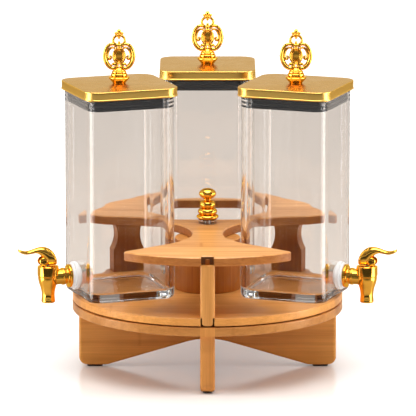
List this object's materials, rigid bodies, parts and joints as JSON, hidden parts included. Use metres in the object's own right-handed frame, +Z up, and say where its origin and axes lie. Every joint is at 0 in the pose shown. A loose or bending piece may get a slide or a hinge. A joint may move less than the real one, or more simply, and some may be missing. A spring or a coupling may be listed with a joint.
{
  "type": "triple beverage dispenser",
  "caption": "Square glass drink jars with lever taps, flat gold lids and openwork finials, standing in a notched wooden tray on a turning disc with crossed legs",
  "frame": {"origin": "on the floor plane, on the turning axis of the turntable", "axes": "+Z up along the turning axis, -Y to the front post, +X to the right-hand tap"},
  "size_m": [0.4162, 0.3818, 0.3818],
  "materials": {
    "bamboo": "satin lacquered bamboo",
    "gold": "polished gold plating",
    "satin_gold": "satin brushed gold with polished edges",
    "glass": "clear polished glass",
    "seal_rubber": "matt black silicone",
    "dark_plastic": "matt",
    "white_silicone": "matt white silicone",
    "valve_plastic": "smooth",
    "cage_plastic": "smooth",
    "steel": "bright",
    "pad_rubber": "matt",
    "clear_acrylic": "clear polished acrylic"
  },
  "bodies": {
    "stand": {"side_leg_board": "bamboo", "front_leg_board": "bamboo", "foot_pads": "pad_rubber", "base_disc": "bamboo", "lower_race": "steel", "lower_race_screws": "steel"},
    "bearing_cage": {"ball_cage": "cage_plastic", "bearing_balls": "steel"},
    "turntable": {"upper_race": "steel", "upper_race_screws": "steel", "turntable_disc": "bamboo", "left_bracket": "bamboo", "right_bracket": "bamboo", "front_post": "bamboo", "center_column": "bamboo", "tray_dowels": "bamboo", "tray": "bamboo", "knob_foot": "clear_acrylic", "knob_screw": "steel", "tray_knob": "gold", "back_jar": "glass", "back_tap_washer": "white_silicone", "back_inner_washer": "white_silicone", "back_tap_nut": "gold", "back_tap_body": "gold", "back_tap_bonnet": "gold"},
    "left_jar_body": {"left_jar": "glass", "left_tap_washer": "white_silicone", "left_inner_washer": "white_silicone", "left_tap_nut": "gold", "left_tap_body": "gold", "left_tap_bonnet": "gold"},
    "left_lid": {"left_lid_cover": "satin_gold", "left_lid_plug": "dark_plastic", "left_lid_seal": "seal_rubber", "left_finial": "gold"},
    "left_lever": {"left_tap_lever": "gold", "left_lever_pin": "gold"},
    "left_plunger": {"left_tap_plunger": "valve_plastic"},
    "right_jar_body": {"right_jar": "glass", "right_tap_washer": "white_silicone", "right_inner_washer": "white_silicone", "right_tap_nut": "gold", "right_tap_body": "gold", "right_tap_bonnet": "gold"},
    "right_lid": {"right_lid_cover": "satin_gold", "right_lid_plug": "dark_plastic", "right_lid_seal": "seal_rubber", "right_finial": "gold"},
    "right_lever": {"right_tap_lever": "gold", "right_lever_pin": "gold"},
    "right_plunger": {"right_tap_plunger": "valve_plastic"},
    "back_lid": {"back_lid_cover": "satin_gold", "back_lid_plug": "dark_plastic", "back_lid_seal": "seal_rubber", "back_finial": "gold"},
    "back_lever": {"back_tap_lever": "gold", "back_lever_pin": "gold"},
    "back_plunger": {"back_tap_plunger": "valve_plastic"}
  },
  "joints": [
    {"name": "turntable_spin", "type": "hinge", "parent": "stand", "child": "turntable", "pos_m": [0, 0, 0.0775], "axis": [0, 0, 1], "continuous": true},
    {"name": "cage_spin", "type": "hinge", "parent": "stand", "child": "bearing_cage", "pos_m": [0, 0, 0.07675], "axis": [0, 0, 1], "continuous": true},
    {"name": "left_jar_lift", "type": "slide", "parent": "turntable", "child": "left_jar_body", "axis": [0, 0, 1], "range_m": [0, 0.1]},
    {"name": "left_lid_lift", "type": "slide", "parent": "left_jar_body", "child": "left_lid", "axis": [0, 0, 1], "range_m": [0, 0.12]},
    {"name": "left_lever_press", "type": "hinge", "parent": "left_jar_body", "child": "left_lever", "pos_m": [-0.1811, -0.04861, 0.1285], "axis": [0.342, -0.9397, 0], "range_deg": [0, 22], "stiffness_Nm_per_rad": 0.25, "springref_deg": -14.32},
    {"name": "left_plunger_lift", "type": "slide", "parent": "left_jar_body", "child": "left_plunger", "axis": [0, 0, 1], "range_m": [0, 0.0025]},
    {"name": "right_jar_lift", "type": "slide", "parent": "turntable", "child": "right_jar_body", "axis": [0, 0, 1], "range_m": [0, 0.1]},
    {"name": "right_lid_lift", "type": "slide", "parent": "right_jar_body", "child": "right_lid", "axis": [0, 0, 1], "range_m": [0, 0.12]},
    {"name": "right_lever_press", "type": "hinge", "parent": "right_jar_body", "child": "right_lever", "pos_m": [0.1811, -0.04861, 0.1285], "axis": [0.342, 0.9397, 0], "range_deg": [0, 22], "stiffness_Nm_per_rad": 0.25, "springref_deg": -14.32},
    {"name": "right_plunger_lift", "type": "slide", "parent": "right_jar_body", "child": "right_plunger", "axis": [0, 0, 1], "range_m": [0, 0.0025]},
    {"name": "back_lid_lift", "type": "slide", "parent": "turntable", "child": "back_lid", "axis": [0, 0, 1], "range_m": [0, 0.12]},
    {"name": "back_lever_press", "type": "hinge", "parent": "turntable", "child": "back_lever", "pos_m": [0, 0.2015, 0.1285], "axis": [-1, 0, 0], "range_deg": [0, 22], "stiffness_Nm_per_rad": 0.25, "springref_deg": -14.32},
    {"name": "back_plunger_lift", "type": "slide", "parent": "turntable", "child": "back_plunger", "axis": [0, 0, 1], "range_m": [0, 0.0025]}
  ],
  "couplings": [
    {"joint": "cage_spin", "follows": "turntable_spin", "ratio": 0.5},
    {"joint": "left_plunger_lift", "follows": "left_lever_press", "m_per_rad": 0.006},
    {"joint": "right_plunger_lift", "follows": "right_lever_press", "m_per_rad": 0.006},
    {"joint": "back_plunger_lift", "follows": "back_lever_press", "m_per_rad": 0.006}
  ]
}
